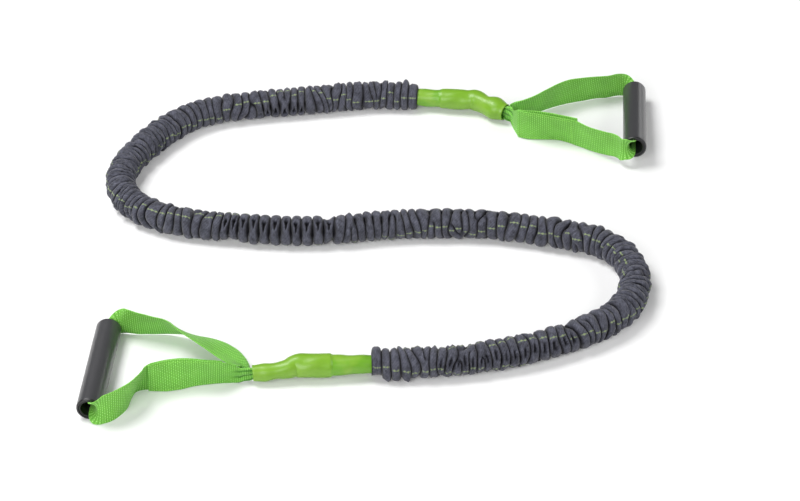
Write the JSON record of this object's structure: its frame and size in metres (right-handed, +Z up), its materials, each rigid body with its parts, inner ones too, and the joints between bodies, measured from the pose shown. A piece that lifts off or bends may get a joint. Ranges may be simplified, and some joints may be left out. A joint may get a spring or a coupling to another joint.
{
  "type": "resistance tube",
  "caption": "Elastic exercise tube in a gathered fabric sleeve, with a dipped rubber boot, a webbing loop and a tube handle at each end.",
  "frame": {"origin": "on the floor, under the middle of the two ends, webbing loops and handles", "axes": "+Z up from the floor the part lies on, +Y away from the viewer of the picture, +X to the viewer's right"},
  "size_m": [0.5637, 0.5714, 0.0386],
  "materials": {
    "sleeve_cloth": "matt woven nylon, dark grey, two thin dashed lime lines",
    "latex": "smooth natural latex",
    "boot_rubber": "glossy dipped coating, lime green",
    "webbing": "woven webbing, bright green",
    "grip_plastic": "satin moulded plastic, near black",
    "core_plastic": "satin extruded plastic, black",
    "plug_nylon": "satin natural nylon",
    "ring_metal": "plain crimped sleeve",
    "pin_steel": "plain cut pin"
  },
  "bodies": {
    "tube": {"gathered_sleeve": "sleeve_cloth", "latex_tube": "latex", "left_end_boot": "boot_rubber", "left_tube_plug": "plug_nylon", "left_clamp_ring": "ring_metal", "left_strap_pin": "pin_steel", "left_strap_tail": "webbing"},
    "right_end": {"right_end_boot": "boot_rubber", "right_tube_plug": "plug_nylon", "right_clamp_ring": "ring_metal", "right_strap_pin": "pin_steel", "right_strap_tail": "webbing"},
    "left_loop": {"left_strap": "webbing"},
    "right_loop": {"right_strap": "webbing"},
    "left_handle": {"left_handle_grip": "grip_plastic", "left_handle_core": "core_plastic"},
    "right_handle": {"right_handle_grip": "grip_plastic", "right_handle_core": "core_plastic"}
  },
  "joints": [
    {"name": "tube_stretch", "type": "slide", "parent": "tube", "child": "right_end", "axis": [0.9947, -0.1025, 0], "range_m": [0, 0.25], "stiffness_N_per_m": 200, "deforming": ["gathered_sleeve", "latex_tube"]},
    {"name": "left_strap_lift", "type": "hinge", "parent": "tube", "child": "left_loop", "pos_m": [-0.12604, -0.21572, 0.01019], "axis": [-0.0978, 0.9952, 0], "range_deg": [0, 90]},
    {"name": "right_strap_lift", "type": "hinge", "parent": "right_end", "child": "right_loop", "pos_m": [0.13481, 0.2253, 0.01196], "axis": [-0.5578, -0.83, 0], "range_deg": [0, 90]},
    {"name": "left_handle_spin", "type": "hinge", "parent": "left_loop", "child": "left_handle", "pos_m": [-0.26508, -0.20928, 0.0121], "axis": [0.0715, 0.9974, 0], "continuous": true},
    {"name": "right_handle_spin", "type": "hinge", "parent": "right_loop", "child": "right_handle", "pos_m": [0.26562, 0.20842, 0.0173], "axis": [0.0626, 0.9945, -0.0839], "continuous": true}
  ]
}
